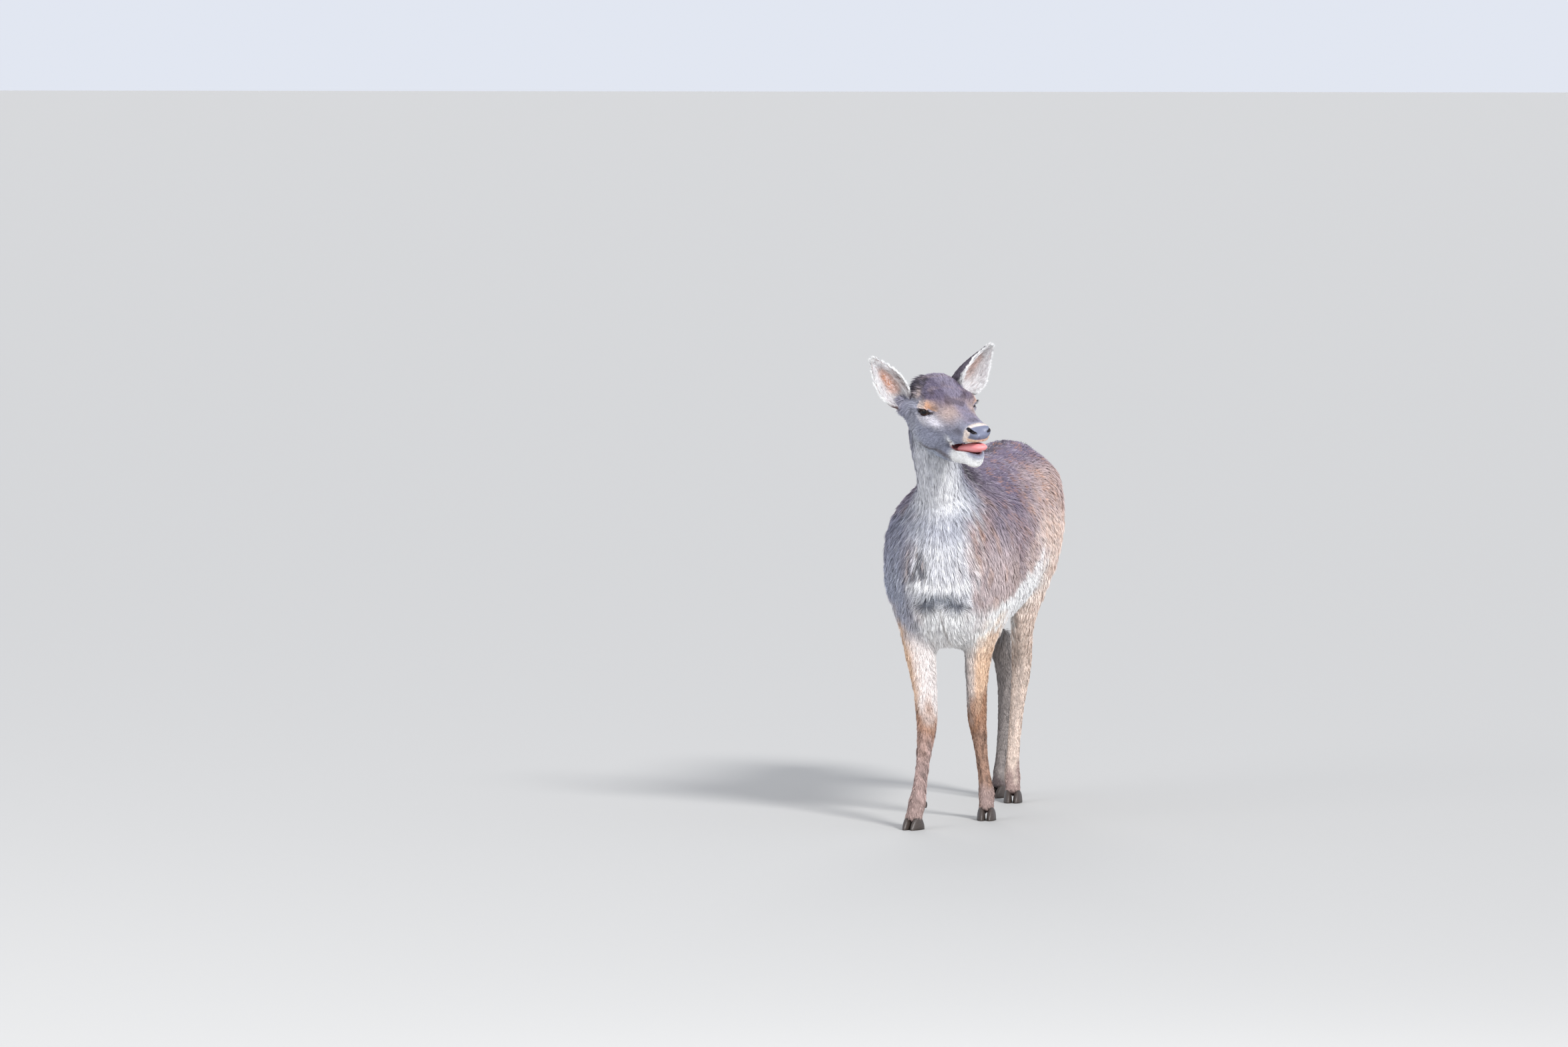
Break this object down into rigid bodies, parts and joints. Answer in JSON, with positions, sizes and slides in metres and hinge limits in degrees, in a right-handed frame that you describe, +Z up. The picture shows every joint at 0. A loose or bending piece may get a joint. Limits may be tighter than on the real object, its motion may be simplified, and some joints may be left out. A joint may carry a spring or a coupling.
{
  "type": "fallow deer",
  "caption": "Life-size still model of a young fallow deer in grey winter coat, standing with its head turned to its left and its mouth open",
  "frame": {"origin": "On the floor under the middle of the whole model's bounding box; the soles of all eight claws lie on Z = 0", "axes": "+Z is up. The deer's body faces -Y and its left side is +X; its head is turned about 48 degrees to its left"},
  "size_m": [0.2745, 0.9019, 0.9014],
  "materials": {
    "grey_coat": "short dense winter hair",
    "pale_coat": "long pale winter hair",
    "tan_coat": "short tan hair",
    "dark_coat": "long dark hair",
    "horn": "satin horn",
    "eye": "wet gloss",
    "tongue": "moist"
  },
  "bodies": {
    "root": {"claw_fore_left_left": "horn", "claw_fore_left_right": "horn", "claw_fore_right_left": "horn", "claw_fore_right_right": "horn", "claw_hind_left_left": "horn", "claw_hind_left_right": "horn", "claw_hind_right_left": "horn", "claw_hind_right_right": "horn", "dewclaw_fore_left_left": "horn", "dewclaw_fore_left_right": "horn", "dewclaw_fore_right_left": "horn", "dewclaw_fore_right_right": "horn", "dewclaw_hind_left_left": "horn", "dewclaw_hind_left_right": "horn", "dewclaw_hind_right_left": "horn", "dewclaw_hind_right_right": "horn", "ear_left": "grey_coat", "ear_right": "grey_coat", "eye_left": "eye", "eye_right": "eye", "head": "grey_coat", "lower_fore_left": "tan_coat", "lower_fore_right": "tan_coat", "lower_hind_left": "tan_coat", "lower_hind_right": "tan_coat", "lower_jaw": "pale_coat", "neck": "pale_coat", "tail": "dark_coat", "tongue": "tongue", "trunk": "grey_coat", "upper_fore_left": "tan_coat", "upper_fore_right": "tan_coat", "upper_hind_left": "grey_coat", "upper_hind_right": "grey_coat"}
  },
  "joints": []
}
